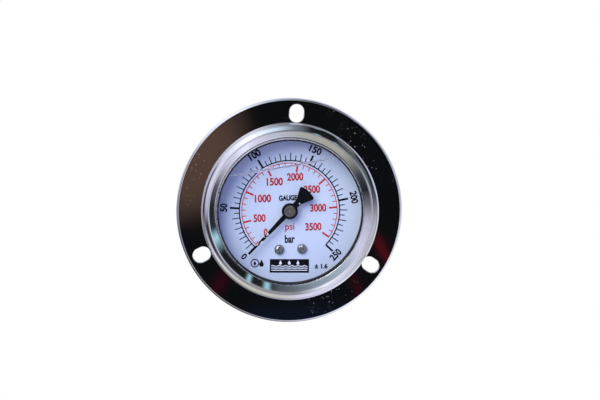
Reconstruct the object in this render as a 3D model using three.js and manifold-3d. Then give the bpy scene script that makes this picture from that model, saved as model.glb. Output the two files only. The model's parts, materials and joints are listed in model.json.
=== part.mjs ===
// Liquid-filled pressure gauge, nominal size 63, for panel mounting: three-slot front flange, back connection.
// Millimetres, +Z up. The gauge's axis is Y, its front faces -Y, and the flange's panel face is y = 0.
// Front and back are y values. Turns are degrees anticlockwise from +X, as seen from the front.
import * as THREE from "three";
import { mergeVertices } from "three/addons/utils/BufferGeometryUtils.js";
import Module from "manifold-3d";

const wasm = await Module();
wasm.setup();

// Driving dimensions
const play = 0.1; // between pieces that rest on each other
const running = 0.05; // radial clearance of a shaft in its hole
const sides = 48; // of every round piece that nests in the case or the bezel

const flange = {
  radius: 42.5, bore: 31.3, front: -1.5, edge: 1.2,
  slots: 3, slotWidth: 5.7, slotLength: 7.1, slotCircle: 37.1, turn: 84.6,
};
const housing = { radius: 31, wall: 0.8, back: 26.8, corner: 3, lipRadius: 32.2, lipFront: -2.4 };
const bezel = { radius: 33.25, skirt: 33, wall: 0.6, widest: -4.8, crest: 30.6, front: -8, lip: 27.5, lipFront: -5.5 };
const window_ = { radius: 31.8, front: -4.5, shoulder: -2.75, plugRadius: 29.6, back: -0.9 };
const dial = { radius: 27.7, front: 2.6, thickness: 0.4, hole: 2.2, screwX: 4.3, screwZ: -14.6 };
const pointer = {
  length: 22.4, tipWidth: 0.56, rootWidth: 1.84, hub: 2.83, neckWidth: 2.34, neckEnd: 4.7,
  fanRadius: 10.3, fanHalfAngle: 18.7, front: 0.1, thickness: 0.4, zeroTurn: 225,
};
const bush = { capRadius: 2, capFront: -0.35, barrel: 1.3, back: 1.6 };
const gear = { module: 0.2, pinionTeeth: 10, fullTeeth: 108, cutTeeth: 11, pressureAngle: 20, thickness: 0.8 };
const sector = { swing: 25, front: 9.3, back: 10.3, tail: 4.5, rim: 9.2, hub: 2.2 };
const link = { front: 10.45, back: 10.85, tipArm: 13.5, eye: 1.2, pin: 0.55, openPlay: 0.11 };
const plates = { thickness: 1, front: 6, back: 12 };
const coil = { radius: 21, pitch: 4.2, startTurn: -94, sweep: 860, back: 23.2, halfWidth: 1.6, halfDepth: 1.1, wall: 0.5 };
const stem = {
  collar: 8.5, flats: 14, flatsFront: 28, flatsBack: 37, thread: 6.5785, threadCore: 5.72,
  pitch: 1.337, threadFront: 38.6, back: 50, spigot: 2.75, end: 52, bore: 1.7,
};
const fillPlug = { y: 14, turn: 40, hole: 4.3, neck: 4, head: 6, height: 2.2 };
const caseScrew = { x: 13.2, head: 2.8, shank: 1.45 };

const pinionRadius = (gear.module * gear.pinionTeeth) / 2;
const sectorRadius = (gear.module * gear.fullTeeth) / 2;
const sectorZ = pinionRadius + sectorRadius;

const finish = {
  chrome: new THREE.MeshStandardMaterial({ color: 0x8f9196, metalness: 1, roughness: 0.06 }),
  polishedSteel: new THREE.MeshStandardMaterial({ color: 0xb9bdc2, metalness: 1, roughness: 0.12 }),
  steel: new THREE.MeshStandardMaterial({ color: 0xa2a6aa, metalness: 1, roughness: 0.3 }),
  brass: new THREE.MeshStandardMaterial({ color: 0xb7924a, metalness: 1, roughness: 0.35 }),
  bronze: new THREE.MeshStandardMaterial({ color: 0x9c6b3c, metalness: 1, roughness: 0.4 }),
  dialWhite: new THREE.MeshStandardMaterial({ color: 0xd6dff0, metalness: 0, roughness: 0.5 }),
  pointerBlack: new THREE.MeshStandardMaterial({ color: 0x0b0b0d, metalness: 0, roughness: 0.45 }),
  rubber: new THREE.MeshStandardMaterial({ color: 0x141416, metalness: 0, roughness: 0.8 }),
  clear: new THREE.MeshStandardMaterial({
    color: 0xf2f6f8, metalness: 0, roughness: 0.03, transparent: true, opacity: 0.3,
  }),
};

const gauge = new THREE.Group();

function add(name, geometry, material) {
  const mesh = new THREE.Mesh(geometry, material);
  mesh.name = name;
  gauge.add(mesh);
  return mesh;
}

const radians = (degrees) => THREE.MathUtils.degToRad(degrees);

// The point at a radius and a turn about (x, z).
function polar(radius, turn, x = 0, z = 0) {
  return [x + radius * Math.cos(radians(turn)), z + radius * Math.sin(radians(turn))];
}

// Solids: three.js geometry in and out of manifold-3d, for cuts and joins only.
function solidOf(geometry) {
  const bare = geometry.index ? geometry.toNonIndexed() : geometry.clone();
  bare.deleteAttribute("normal");
  bare.deleteAttribute("uv");
  const merged = mergeVertices(bare, 1e-4);
  const vertProperties = merged.attributes.position.array;
  const triVerts = new Uint32Array(merged.index.array);
  return new wasm.Manifold(new wasm.Mesh({ numProp: 3, vertProperties, triVerts }));
}

function geometryOf(solid) {
  const { vertProperties, triVerts } = solid.getMesh();
  const geometry = new THREE.BufferGeometry();
  geometry.setAttribute("position", new THREE.BufferAttribute(vertProperties, 3));
  geometry.setIndex(new THREE.BufferAttribute(triVerts, 1));
  geometry.computeVertexNormals();
  return geometry;
}

function cut(base, ...tools) {
  return geometryOf(tools.reduce((solid, tool) => solid.subtract(solidOf(tool)), solidOf(base)));
}

function join(base, ...others) {
  return geometryOf(others.reduce((solid, other) => solid.add(solidOf(other)), solidOf(base)));
}

// A profile of [radius, y] points turned about the Y axis. A profile that leaves the axis closes on itself.
function turned(profile, around = sides) {
  const points = profile.map(([radius, y]) => new THREE.Vector2(radius, y));
  if (THREE.ShapeUtils.isClockWise(points)) points.reverse();
  if (points[0].x > 0) points.push(points[0].clone());
  return new THREE.LatheGeometry(points, around);
}

function disc(radius, front, back, around = 24, x = 0, z = 0) {
  return new THREE.CylinderGeometry(radius, radius, back - front, around).translate(x, (front + back) / 2, z);
}

// A drill keeps its whole radius clear: its flats, not its corners, are at that radius.
function drill(radius, front, back, x = 0, z = 0, around = 24) {
  return disc(radius / Math.cos(Math.PI / around), front, back, around, x, z);
}

function washer(outer, inner, front, back, around) {
  return turned([[inner, front], [outer, front], [outer, back], [inner, back]], around);
}

function block(x0, x1, front, back, z0, z1) {
  return new THREE.BoxGeometry(x1 - x0, back - front, z1 - z0).translate(
    (x0 + x1) / 2, (front + back) / 2, (z0 + z1) / 2,
  );
}

// A flat shape drawn as seen from the front, x to the right and z up, made as thick as front to back.
function plate(shape, front, back, curveSegments = 8) {
  const sheet = new THREE.ExtrudeGeometry(shape, { depth: back - front, bevelEnabled: false, curveSegments });
  return sheet.rotateX(Math.PI / 2).translate(0, back, 0);
}

// A plate with straight sides and rounded corners.
function roundedOutline(corners, radius) {
  const shape = new THREE.Shape();
  corners.forEach(([x, z], i) => {
    const corner = new THREE.Vector2(x, z);
    const before = new THREE.Vector2(...corners.at(i - 1)).sub(corner).setLength(radius).add(corner);
    const after = new THREE.Vector2(...corners[(i + 1) % corners.length]).sub(corner).setLength(radius).add(corner);
    if (i === 0) shape.moveTo(before.x, before.y);
    else shape.lineTo(before.x, before.y);
    shape.quadraticCurveTo(x, z, after.x, after.y);
  });
  return shape;
}

// A bar with an eye at each end, from (0, 0) along +X, narrower between its eyes.
function eyeBar(length, eye, waist) {
  const shape = new THREE.Shape();
  const lean = Math.asin(waist / eye);
  shape.absarc(0, 0, eye, lean, 2 * Math.PI - lean);
  shape.absarc(length, 0, eye, Math.PI + lean, 3 * Math.PI - lean);
  return shape;
}

function slotTool(length, width, front, back) {
  const shape = new THREE.Shape();
  const reach = (length - width) / 2;
  shape.absarc(reach, 0, width / 2, -Math.PI / 2, Math.PI / 2);
  shape.absarc(-reach, 0, width / 2, Math.PI / 2, (3 * Math.PI) / 2);
  return plate(shape, front, back, 7);
}

// Involute teeth: the half angle that a tooth fills at a radius.
function toothHalfAngle(radius, pitchRadius, teeth) {
  const pressure = radians(gear.pressureAngle);
  const involute = (angle) => Math.tan(angle) - angle;
  const base = pitchRadius * Math.cos(pressure);
  const here = Math.acos(Math.min(1, base / radius));
  return (gear.thickness * Math.PI) / (2 * teeth) + involute(pressure) - involute(here);
}

// One tooth's outline as [radius, angle] pairs, from the root on one side to the root on the other.
function toothFlanks(pitchRadius, teeth, centre) {
  const root = pitchRadius - 1.25 * gear.module;
  const tip = pitchRadius + 0.8 * gear.module;
  const radii = [root, pitchRadius * 0.96, pitchRadius, tip].filter((r) => r >= root).sort((a, b) => a - b);
  const half = (r) => toothHalfAngle(r, pitchRadius, teeth);
  const rising = radii.map((r) => [r, centre - half(r)]);
  const falling = radii.toReversed().map((r) => [r, centre + half(r)]);
  return [...rising, ...falling];
}

function pinionShape() {
  const points = [];
  for (let i = 0; i < gear.pinionTeeth; i++) {
    const centre = Math.PI / 2 + (i * 2 * Math.PI) / gear.pinionTeeth;
    for (const [r, angle] of toothFlanks(pinionRadius, gear.pinionTeeth, centre))
      points.push(new THREE.Vector2(r * Math.cos(angle), r * Math.sin(angle)));
  }
  return new THREE.Shape(points);
}

// Front: flange, case, bezel, window and its gasket
function flangeRing() {
  const step = Math.PI / 6;
  const rounded = [0, 1, 2, 3].map((i) => [
    flange.radius - flange.edge + flange.edge * Math.sin(i * step),
    flange.front + flange.edge - flange.edge * Math.cos(i * step),
  ]);
  const ring = turned([[flange.bore, flange.front], ...rounded, [flange.radius - 0.15, 0], [flange.bore, 0]], 64);
  const slots = Array.from({ length: flange.slots }, (_, i) => {
    const turn = flange.turn + (360 / flange.slots) * i;
    const [x, z] = polar(flange.slotCircle, turn);
    return slotTool(flange.slotLength, flange.slotWidth, flange.front - 1, 1).rotateY(-radians(turn)).translate(x, 0, z);
  });
  return cut(ring, ...slots);
}

// Lays a piece made along +Y on the case's side, where the plug is
function atPlug(piece) {
  return piece.rotateX(Math.PI / 2).translate(0, fillPlug.y, 0).rotateY(radians(90 - fillPlug.turn));
}

function caseCup() {
  const { radius, wall, back, corner, lipRadius, lipFront } = housing;
  const arc = (r, centre, end) =>
    [0, 1, 2].map((i) => [
      centre + r * Math.cos((i * Math.PI) / 4),
      end - r + r * Math.sin((i * Math.PI) / 4),
    ]);
  const outer = arc(corner, radius - corner, back);
  const inner = arc(corner - wall, radius - corner, back - wall).toReversed();
  const hole = stem.collar + 0.4;
  const cup = turned([
    [radius - wall, lipFront], [lipRadius, lipFront], [lipRadius, lipFront + wall], [radius, lipFront + wall],
    ...outer, [hole, back], [hole, back - wall], ...inner,
  ]);
  const screws = [-1, 1].map((side) => drill(caseScrew.shank + 0.2, back - 2, back + 1, side * caseScrew.x));
  const plugHole = atPlug(drill(fillPlug.hole, radius - 3, radius + 2));
  return cut(cup, ...screws, plugHole);
}

function bezelRing() {
  const { radius, skirt, wall, widest, crest, front, lip, lipFront } = bezel;
  const foot = flange.front - play;
  const quarter = (steps, inset) => Array.from({ length: steps + 1 }, (_, i) => [
    crest + (radius - crest - inset) * Math.cos((i * Math.PI) / (2 * steps)),
    widest + (front - widest + inset) * Math.sin((i * Math.PI) / (2 * steps)),
  ]);
  const shell = quarter(4, 0);
  const lining = quarter(2, wall).toReversed();
  const outside = [[skirt, foot], [radius, -3.2], ...shell];
  const slope = [[crest - 0.8, front + 0.4], [lip + 0.7, lipFront - 0.75], [lip, lipFront]];
  const underside = [[lip, lipFront + wall], [lip + 1.3, lipFront + 0.25], [crest - 1, front + 1.3]];
  return turned([...outside, ...slope, ...underside, ...lining, [skirt - wall, foot]]);
}

function windowPane() {
  const { radius, front, shoulder, plugRadius, back } = window_;
  return turned([
    [0, front], [radius - 0.3, front], [radius, front + 0.3], [radius, shoulder],
    [plugRadius, shoulder], [plugRadius, back], [0, back],
  ]);
}

function windowGasket() {
  const { radius, front, shoulder } = window_;
  const outer = bezel.skirt - bezel.wall - 0.15;
  return turned([
    [bezel.lip - 0.25, bezel.lipFront + bezel.wall + running], [outer, bezel.lipFront + bezel.wall + running],
    [outer, housing.lipFront - running], [window_.plugRadius + 0.4, housing.lipFront - running],
    [window_.plugRadius + 0.4, shoulder + running], [radius + running, shoulder + running],
    [radius + running, front - running], [bezel.lip - 0.25, front - running],
  ]);
}

// Dial, its screws and posts
function dialPlate() {
  const back = dial.front + dial.thickness;
  const screws = [-1, 1].map((side) => drill(1.2, dial.front - 1, back + 1, side * dial.screwX, dial.screwZ, 16));
  return cut(disc(dial.radius, dial.front, back, sides), drill(dial.hole, dial.front - 1, back + 1), ...screws);
}

// A pan-head screw whose head faces front, or back where facingBack is set. Its recess has one arm for each turn.
function panScrew({ x, z, head, shank, height, seat, reach, recessTurns, around, facingBack = false }) {
  const screw = turned([
    [0, 0], [head * 0.66, height * 0.1], [head * 0.93, height * 0.45], [head, height],
    [shank, height], [shank, height + reach], [0, height + reach],
  ], around);
  const arms = recessTurns.map((turn) => new THREE.BoxGeometry(head * 1.1, height, head * 0.28).rotateY(radians(turn)));
  const recessed = cut(screw, ...arms);
  if (facingBack) return recessed.rotateX(Math.PI).translate(x, seat + height, z);
  return recessed.translate(x, seat - height, z);
}

function dialPost(side) {
  const front = dial.front + dial.thickness + play;
  const [x, z] = [side * dial.screwX, dial.screwZ];
  return cut(disc(1.7, front, 20.8, 16, x, z), drill(1.02, front - 1, 8, x, z, 12));
}

// Pointer, built along +X and turned to zero
function pointerBlade() {
  const { length, tipWidth, rootWidth, hub, neckWidth, neckEnd, fanRadius, fanHalfAngle, front, thickness } = pointer;
  const root = Math.asin(rootWidth / 2 / hub);
  const neck = Math.asin(neckWidth / 2 / hub);
  const fan = radians(fanHalfAngle);
  const corner = 0.8;
  const [cx, cz] = [-(fanRadius - corner) * Math.cos(fan - 0.06), (fanRadius - corner) * Math.sin(fan - 0.06)];
  const shape = new THREE.Shape();
  shape.moveTo(length, -tipWidth / 2);
  shape.lineTo(length, tipWidth / 2);
  shape.absarc(0, 0, hub, root, Math.PI - neck);
  shape.lineTo(-neckEnd, neckWidth / 2);
  shape.absarc(cx, cz, corner, Math.PI / 2 - fan, Math.PI - fan);
  shape.absarc(0, 0, fanRadius, Math.PI - fan + 0.06, Math.PI + fan - 0.06);
  shape.absarc(cx, -cz, corner, Math.PI + fan, (3 * Math.PI) / 2 + fan);
  shape.lineTo(-neckEnd, -neckWidth / 2);
  shape.absarc(0, 0, hub, Math.PI + neck, 2 * Math.PI - root);
  return cut(plate(shape, front, front + thickness), drill(bush.barrel + running, front - 1, front + 2));
}

function pointerBush() {
  const { capRadius, capFront, barrel, back } = bush;
  const capBack = pointer.front - running;
  const body = turned([
    [0, capFront], [capRadius - 0.25, capFront], [capRadius, capFront + 0.15], [capRadius, capBack],
    [barrel, capBack], [barrel, back], [0, back],
  ], 32);
  return cut(body, drill(0.6, capFront - 1, back + 1, 0, 0, 12));
}

function pinionStaff() {
  const staff = turned([
    [0, bush.capFront + 0.1], [0.45, bush.capFront + 0.1], [0.55, bush.capFront + 0.3], [0.55, bush.back + 0.2],
    [0.75, bush.back + 0.6], [0.75, 11.75], [0.5, 11.75], [0.5, 12.9], [0, 12.9],
  ], 12);
  return join(staff, plate(pinionShape(), 9, 10.6));
}

// Hairspring: a flat strip wound in a spiral, its collet on the staff and its stud on the rear plate
const spring = { inner: 1.5, outer: 3.7, turns: 4.5, strip: 0.14, front: 10.95, back: 11.4, endTurn: 30 };

// A straight strip or tube along +Z, one unit long, wrapped so that its length follows a path that
// runs anticlockwise about the axis.
function wrapped(section, steps, curveSegments, path) {
  const options = { depth: 1, steps, bevelEnabled: false, curveSegments };
  const straight = new THREE.ExtrudeGeometry(section, options);
  const place = straight.attributes.position;
  for (let i = 0; i < place.count; i++) {
    const [x, y, z] = path(place.getZ(i));
    const out = place.getX(i);
    const angle = Math.atan2(z, x);
    place.setXYZ(i, x + out * Math.cos(angle), y + place.getY(i), z + out * Math.sin(angle));
  }
  return straight;
}

function hairspring() {
  const { inner, outer, turns, strip, front, back, endTurn } = spring;
  const half = (back - front) / 2;
  const section = new THREE.Shape();
  section.moveTo(-strip / 2, -half).lineTo(strip / 2, -half).lineTo(strip / 2, half).lineTo(-strip / 2, half);
  return wrapped(section, 45, 1, (along) => {
    const [x, z] = polar(inner + (outer - inner) * along, endTurn - 360 * turns * (1 - along));
    return [x, (front + back) / 2, z];
  });
}

function springStud() {
  const [x, z] = polar(spring.outer + 0.75, spring.endTurn);
  return disc(0.4, spring.front, plates.back - play, 12, x, z);
}

// Sector gear: teeth, rim, two arms, hub and tail, about its own pivot
const tailTurn = 180 - THREE.MathUtils.radToDeg(Math.asin((link.tipArm - sector.tail) / sectorZ)) - sector.swing / 2;

function sectorGear() {
  const pitch = 360 / gear.fullTeeth;
  const lastTooth = -90 + pitch / 2 + pitch;
  const centres = Array.from({ length: gear.cutTeeth }, (_, i) => lastTooth - pitch * (gear.cutTeeth - 1 - i));
  const teeth = centres.flatMap((turn) => toothFlanks(sectorRadius, gear.fullTeeth, radians(turn)));
  const rim = new THREE.Shape(teeth.map(([r, angle]) => new THREE.Vector2(r * Math.cos(angle), r * Math.sin(angle))));
  rim.absarc(0, 0, sector.rim, radians(centres.at(-1) + 1), radians(centres[0] - 1), true);
  const arm = (turn) => {
    const bar = block(0, sector.rim + 0.6, sector.front, sector.back, -0.6, 0.6);
    return bar.rotateY(-radians(turn));
  };
  const tail = plate(eyeBar(sector.tail, 1.3, 0.9), sector.front, sector.back, 6).rotateY(-radians(tailTurn));
  const whole = join(
    disc(sector.hub, sector.front, sector.back, 20), plate(rim, sector.front, sector.back),
    arm(centres[1]), arm(centres.at(-2)), tail,
  );
  const [x, z] = polar(sector.tail, tailTurn);
  const bored = cut(
    whole, drill(0.9 + running, sector.front - 1, sector.back + 1, 0, 0, 12),
    drill(link.pin + running, sector.front - 1, sector.back + 1, x, z, 12),
  );
  return bored.translate(0, 0, sectorZ);
}

function sectorShaft() {
  const { front, back, thickness } = plates;
  return turned([
    [0, front + 0.1], [0.5, front + 0.1], [0.5, front + thickness + play], [0.9, front + thickness + play],
    [0.9, back - play], [0.5, back - play], [0.5, back + thickness - 0.1], [0, back + thickness - 0.1],
  ], 12).translate(0, 0, sectorZ);
}

// Link between the sector's tail and the tube's tip. The tip end is the pivot that is left open.
const tailPin = polar(sector.tail, tailTurn, 0, sectorZ);
const tipTurn = tipTurnAtRest();
const tipPin = polar(link.tipArm, tipTurn);

// The turn of the tip arm at which the link just reaches from pin to pin.
function tipTurnAtRest() {
  const square = sectorZ ** 2 - (link.tipArm - sector.tail) ** 2;
  const reach = Math.hypot(...tailPin);
  const cosine = (link.tipArm ** 2 + reach ** 2 - square) / (2 * link.tipArm * reach);
  const towardsTail = THREE.MathUtils.radToDeg(Math.atan2(tailPin[1], tailPin[0]));
  return towardsTail + THREE.MathUtils.radToDeg(Math.acos(cosine));
}

function linkBar() {
  const [dx, dz] = [tipPin[0] - tailPin[0], tipPin[1] - tailPin[1]];
  const length = Math.hypot(dx, dz);
  const { front, back, pin, eye, openPlay } = link;
  const bar = cut(
    plate(eyeBar(length, eye, 0.65), front, back, 6),
    drill(pin + running, front - 1, back + 1, 0, 0, 12), drill(pin + openPlay, front - 1, back + 1, length, 0, 12),
  );
  return bar.rotateY(-Math.atan2(dz, dx)).translate(tailPin[0], 0, tailPin[1]);
}

function rivet([x, z], front, back, headFront, headBack) {
  const { pin } = link;
  const profile = [[0, front - headFront], [pin + 0.35, front - headFront], [pin + 0.35, front], [pin, front]];
  const end = headBack > 0
    ? [[pin, back], [pin + 0.3, back], [pin + 0.3, back + headBack], [0, back + headBack]]
    : [[pin, back], [0, back]];
  return turned([...profile, ...end], 12).translate(x, 0, z);
}

// Bourdon tube: a flattened tube in a helix, its end-piece with the arm that drives the link
// A point of the helix: along is 0 at the socket and 1 at the tip.
function coilPath(along) {
  const [x, z] = polar(coil.radius, coil.startTurn - coil.sweep * along);
  return [x, coil.back - (coil.pitch * coil.sweep * along) / 360, z];
}

function bourdonTube() {
  const section = new THREE.Shape();
  section.absellipse(0, 0, coil.halfDepth, coil.halfWidth, 0, 2 * Math.PI);
  const hollow = new THREE.Path();
  hollow.absellipse(0, 0, coil.halfDepth - coil.wall, coil.halfWidth - coil.wall, 0, 2 * Math.PI, true);
  section.holes.push(hollow);
  return wrapped(section, 48, 3, (along) => coilPath(1 - along));
}

function tubeTip() {
  const [, endY] = coilPath(1);
  const end = coil.startTurn - coil.sweep;
  const capLength = 3.2;
  const cap = block(coil.radius - 2.1, coil.radius + 2.1, link.back + play, endY + 2, -capLength - 0.3, -0.3);
  cap.rotateY(-radians(end));
  const [capX, capZ] = polar(coil.radius - 1.4, end - 4.4);
  const [dx, dz] = [tipPin[0] - capX, tipPin[1] - capZ];
  const arm = plate(eyeBar(Math.hypot(dx, dz), 1.2, 0.9), link.back + play, link.back + 0.9, 6);
  arm.rotateY(-Math.atan2(dz, dx)).translate(capX, 0, capZ);
  return cut(join(cap, arm), drill(link.pin + running, link.back - 1, link.back + 3, ...tipPin, 12));
}

// Movement: two plates on pillars
const pillars = { lower_left: [-6.2, -4.6], lower_right: [6.2, -4.6], upper: [5.4, 15.2] };
const mountScrews = { left: [-3.2, -7], right: [3.2, -7] };

function movementPlate(front, extraHoles) {
  const { thickness } = plates;
  const outline = roundedOutline([[-8.4, -9.4], [8.4, -9.4], [8.4, 14.8], [5.6, 17.6], [-3, 15.2], [-8.4, 1]], 1.6);
  const hole = (radius, [x, z]) => drill(radius, front - 1, front + thickness + 1, x, z, 10);
  return cut(
    plate(outline, front, front + thickness), hole(0.5 + running, [0, sectorZ]),
    ...Object.values(pillars).map((place) => hole(0.75, place)), ...extraHoles.map(([r, place]) => hole(r, place)),
  );
}

function pillar([x, z]) {
  const front = plates.front + plates.thickness + running;
  return cut(disc(1.5, front, plates.back - running, 12, x, z), drill(0.68, front - 1, front + 3, x, z, 8));
}

function smallScrew([x, z], seat, reach) {
  return panScrew({ x, z, head: 1.25, shank: 0.6, height: 0.7, seat, reach, recessTurns: [35], around: 10 });
}

// Socket block with its stem, in one piece: disc and bar behind the coil, pad for the movement, leg for the tube
function threadProfile() {
  const { thread, threadCore, pitch, threadFront, back } = stem;
  const profile = [];
  for (let y = threadFront; y + pitch <= back - 0.3; y += pitch) {
    profile.push([threadCore, y], [thread, y + pitch / 2]);
  }
  return profile;
}

function socketStem() {
  const { collar, flats, flatsFront, flatsBack, threadCore, back, spigot, end, bore, threadFront } = stem;
  const shaft = turned([
    [0, 25], [collar, 25], [collar, flatsFront], [collar, flatsBack - 0.8], [collar - 1, flatsBack],
    [threadCore - 0.3, flatsBack], [threadCore - 0.3, threadFront - 0.3], ...threadProfile(),
    [threadCore, back - 0.5], [threadCore - 0.4, back], [spigot, back], [spigot, end - 0.3], [spigot - 0.3, end], [0, end],
  ], 24);
  const half = flats / 2;
  const side = (turn) => block(half, half + 5, flatsFront, flatsBack + 0.01, -12, 12).rotateY(radians(turn));
  const squared = cut(shaft, ...[0, 90, 180, 270].map(side));
  const [legX, legFront, legBack] = [6.5, 20.9, 25.2];
  const inner = join(
    disc(11, 23.7, legBack, 28), block(-16, 16, 21.2, legBack, -4, 4), block(-5, 5, 13.1, 22, -9.4, 3),
    block(-legX, legX, legFront, legBack, -17, -3), block(-0.8, legX, legFront, legBack, -23.6, -16),
  );
  const caseThreads = [-1, 1].map((s) => drill(caseScrew.shank + running, 20, 26, s * caseScrew.x, 0, 16));
  const plateThreads = Object.values(mountScrews).map((place) => drill(0.68, 12, 16, ...place, 8));
  const passage = disc(0.8, -coil.radius, 0, 10).rotateX(Math.PI / 2).translate(0, coil.back, 0);
  const turnedPassage = block(-2, 0.6, coil.back - 0.6, coil.back + 0.6, -coil.radius - 0.7, -coil.radius + 0.7);
  return cut(join(squared, inner), drill(bore, coil.back - 1, end + 1, 0, 0, 16), ...caseThreads, ...plateThreads,
    passage, turnedPassage);
}

function restrictorScrew() {
  const [front, back, outer] = [stem.end - 3, stem.end - 0.4, stem.bore - running];
  const slot = block(-2, 2, back - 0.6, back + 1, -0.25, 0.25);
  return cut(washer(outer, 0.35, front, back, 16), slot);
}

function fillPlugRubber() {
  const { neck, head, height } = fillPlug;
  const seat = housing.radius + 0.35;
  const inside = housing.radius - housing.wall - 0.9;
  const plug = turned([
    [0, inside - 2.2], [neck - 1, inside - 2.2], [neck + 0.5, inside - 0.6], [neck + 0.5, inside],
    [neck, inside + 0.2], [neck, seat], [head, seat], [head, seat + height * 0.5],
    [head - 0.35, seat + height * 0.85], [head - 1.1, seat + height], [0, seat + height],
  ], 24);
  return atPlug(plug);
}

add("flange_ring", flangeRing(), finish.chrome);
add("bezel_ring", bezelRing(), finish.polishedSteel);
add("window", windowPane(), finish.clear);
add("window_gasket", windowGasket(), finish.rubber);
add("case_cup", caseCup(), finish.polishedSteel);
add("fill_plug", fillPlugRubber(), finish.rubber);

add("dial", dialPlate(), finish.dialWhite);
for (const [name, side] of [["left", -1], ["right", 1]]) {
  const dialScrew = {
    x: side * dial.screwX, z: dial.screwZ, head: 1.8, shank: 0.95, height: 1.2,
    seat: dial.front - running, reach: 4.5, recessTurns: [20, 110], around: 18,
  };
  add(`dial_screw_${name}`, panScrew(dialScrew), finish.steel);
  add(`dial_post_${name}`, dialPost(side), finish.brass);
  const rearScrew = {
    x: side * caseScrew.x, z: 0, head: caseScrew.head, shank: caseScrew.shank, height: 2,
    seat: housing.back + running, reach: 6, recessTurns: [20, 110], around: 18, facingBack: true,
  };
  add(`case_screw_${name}`, panScrew(rearScrew), finish.steel);
}

const atZero = -radians(pointer.zeroTurn);
add("pointer_blade", pointerBlade(), finish.pointerBlack).rotation.y = atZero;
add("pointer_bush", pointerBush(), finish.steel);
add("pinion_staff", pinionStaff(), finish.steel);
add("hairspring_collet", washer(1.3, 0.8, 10.8, 11.6, 16), finish.brass);
add("hairspring", hairspring(), finish.bronze);
add("hairspring_stud", springStud(), finish.brass);

add("sector_gear", sectorGear(), finish.brass);
add("sector_shaft", sectorShaft(), finish.steel);
add("tail_pin", rivet(tailPin, sector.front - play, link.back + play, 0.4, 0.25), finish.steel);
add("link_bar", linkBar(), finish.steel);
add("tip_pin", rivet(tipPin, link.front - play, link.back + 0.95, 0.3, 0), finish.steel);
add("tube_tip", tubeTip(), finish.brass);
add("bourdon_tube", bourdonTube(), finish.bronze);

const staffHole = [0.75 + running, [0, 0]];
const mountHoles = Object.values(mountScrews).map((place) => [0.75, place]);
const headHoles = Object.values(mountScrews).map((place) => [1.6, place]);
add("movement_front_plate", movementPlate(plates.front, [staffHole, ...headHoles]), finish.brass);
add("movement_rear_plate", movementPlate(plates.back, [[0.5 + running, [0, 0]], ...mountHoles]), finish.brass);
for (const [name, place] of Object.entries(pillars)) {
  add(`pillar_${name}`, pillar(place), finish.brass);
  add(`plate_screw_${name}`, smallScrew(place, plates.front - running, 2.6), finish.steel);
}
for (const [name, place] of Object.entries(mountScrews))
  add(`movement_screw_${name}`, smallScrew(place, plates.back - running, 3.6), finish.steel);

add("socket_stem", socketStem(), finish.brass);
add("stem_seal", washer(11, 9, 25.25, 25.95, 28), finish.rubber);
add("restrictor_screw", restrictorScrew(), finish.brass);

export default gauge;
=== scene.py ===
# %% [markdown]
# A liquid-filled pressure gauge for panel mounting. The CAD gives the frame: where each piece sits and what
# turns with what. This lesson adds the looks: finely turned metal, a printed dial, the filling liquid with its
# curved surface, and a plain studio. Lengths are written in millimetres and scaled once, by mm.

# %% Load the frame
import json
from math import asin, cos, degrees, exp, hypot, pi, radians, sin, sqrt

import bmesh
import bpy
from mathutils import Matrix, Vector


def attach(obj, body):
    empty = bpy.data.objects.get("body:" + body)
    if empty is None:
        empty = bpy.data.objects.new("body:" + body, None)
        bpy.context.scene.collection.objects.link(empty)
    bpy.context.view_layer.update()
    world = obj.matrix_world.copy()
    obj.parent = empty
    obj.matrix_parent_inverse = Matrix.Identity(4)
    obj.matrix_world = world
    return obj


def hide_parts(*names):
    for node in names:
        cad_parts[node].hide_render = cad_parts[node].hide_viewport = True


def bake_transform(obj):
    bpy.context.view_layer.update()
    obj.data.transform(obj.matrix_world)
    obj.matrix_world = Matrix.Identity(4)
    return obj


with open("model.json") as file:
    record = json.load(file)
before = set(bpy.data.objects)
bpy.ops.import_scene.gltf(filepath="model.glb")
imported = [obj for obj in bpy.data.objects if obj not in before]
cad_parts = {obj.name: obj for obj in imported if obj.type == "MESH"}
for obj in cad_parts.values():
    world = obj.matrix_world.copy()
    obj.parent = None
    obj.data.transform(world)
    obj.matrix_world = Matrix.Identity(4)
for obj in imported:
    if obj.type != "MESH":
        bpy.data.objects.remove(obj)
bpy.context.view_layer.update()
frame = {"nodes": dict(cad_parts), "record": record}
bpy.ops.object.select_all(action="DESELECT")
mm = 0.001
print("CAD nodes:", len(frame["nodes"]))


# %% [markdown]
# Every shader here is a few sums on sockets. A small class wraps an output socket, so that masks can be
# written as ordinary expressions, and one method adds any other node.

# %% Shader helpers
class Wire:
    def __init__(self, graph, socket):
        self.graph, self.socket = graph, socket

    def sum_with(self, operation, first, second):
        return self.graph.add("ShaderNodeMath", {"operation": operation}, {0: first, 1: second})

    def __add__(self, other):
        return self.sum_with("ADD", self, other)

    def __sub__(self, other):
        return self.sum_with("SUBTRACT", self, other)

    def __rsub__(self, other):
        return self.sum_with("SUBTRACT", other, self)

    def __mul__(self, other):
        return self.sum_with("MULTIPLY", self, other)

    def __truediv__(self, other):
        return self.sum_with("DIVIDE", self, other)

    def __pow__(self, other):
        return self.sum_with("POWER", self, other)

    __radd__, __rmul__ = __add__, __mul__


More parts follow.
